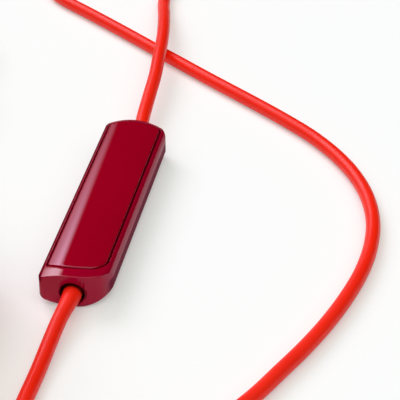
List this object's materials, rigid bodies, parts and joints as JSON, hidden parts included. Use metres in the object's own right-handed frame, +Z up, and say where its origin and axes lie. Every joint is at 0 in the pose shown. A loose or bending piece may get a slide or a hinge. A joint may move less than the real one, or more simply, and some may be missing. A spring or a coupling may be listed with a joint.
{
  "type": "wired earphones",
  "caption": "In-ear earphones on a round cord, with an in-line push-button remote, a splitter and a straight headphone plug.",
  "frame": {"origin": "middle of the flat on the underside of the in-line remote, on the surface that the earphones lie on", "axes": "+Z up out of the surface, +Y along the remote towards its right earbud, +X to the side with the remote's round corners"},
  "size_m": [0.0772, 0.1857, 0.0163],
  "materials": {
    "housing_crimson": "high gloss, faintly crowned",
    "button_crimson": "high gloss",
    "black_plastic": "satin",
    "tinned_steel": "tinned",
    "circuit_board": "solder mask",
    "dark_rubber": "matt",
    "relief_rubber": "satin",
    "contact_gold": "gold plated, polished",
    "bright_metal": "polished",
    "tie_rubber": "matt",
    "diaphragm_film": "thin film",
    "tip_silicone": "soft matt silicone",
    "cord_jacket": "smooth, satin"
  },
  "bodies": {
    "earphones": {"remote_upper_shell": "housing_crimson", "remote_lower_shell": "housing_crimson", "switch_body": "tinned_steel", "remote_board": "circuit_board", "microphone": "tinned_steel", "cord_anchor_near": "dark_rubber", "cord_anchor_far": "dark_rubber", "right_cord_upper": "cord_jacket", "right_cord_lower": "cord_jacket", "right_coil": "cord_jacket", "right_coil_tie": "tie_rubber", "right_cord_tail": "cord_jacket", "left_cord_upper": "cord_jacket", "left_coil": "cord_jacket", "left_coil_tie": "tie_rubber", "left_cord_tail": "cord_jacket", "splitter_upper_shell": "housing_crimson", "splitter_lower_shell": "housing_crimson", "splitter_core": "black_plastic", "splitter_boot": "relief_rubber", "main_cord_lead": "cord_jacket", "main_coil": "cord_jacket", "main_coil_tie": "tie_rubber", "main_cord_tail": "cord_jacket", "plug_boot": "relief_rubber", "plug_grip": "housing_crimson", "plug_collar": "bright_metal", "jack_sleeve": "contact_gold", "jack_insulator": "black_plastic", "jack_ring_inner": "contact_gold", "jack_ring_outer": "contact_gold", "jack_tip": "contact_gold", "right_bud_back_shell": "housing_crimson", "right_bud_trim_ring": "bright_metal", "right_bud_front_shell": "housing_crimson", "right_bud_boot": "relief_rubber", "right_bud_driver_frame": "black_plastic", "right_bud_magnet": "tinned_steel", "right_bud_diaphragm": "diaphragm_film", "right_bud_mesh": "bright_metal", "left_bud_back_shell": "housing_crimson", "left_bud_trim_ring": "bright_metal", "left_bud_front_shell": "housing_crimson", "left_bud_boot": "relief_rubber", "left_bud_driver_frame": "black_plastic", "left_bud_magnet": "tinned_steel", "left_bud_diaphragm": "diaphragm_film", "left_bud_mesh": "bright_metal"},
    "call_button": {"button_plate": "button_crimson", "switch_plunger": "black_plastic"},
    "right_tip": {"right_ear_tip": "tip_silicone"},
    "left_tip": {"left_ear_tip": "tip_silicone"}
  },
  "joints": [
    {"name": "call_button_press", "type": "slide", "parent": "earphones", "child": "call_button", "axis": [0, 0, -1], "range_m": [0, 0.0003], "stiffness_N_per_m": 3000, "springref_m": -0.0003},
    {"name": "right_tip_pull", "type": "slide", "parent": "earphones", "child": "right_tip", "axis": [0, 1, 0], "range_m": [0, 0.006]},
    {"name": "left_tip_pull", "type": "slide", "parent": "earphones", "child": "left_tip", "axis": [1, 0, 0], "range_m": [0, 0.006]}
  ]
}
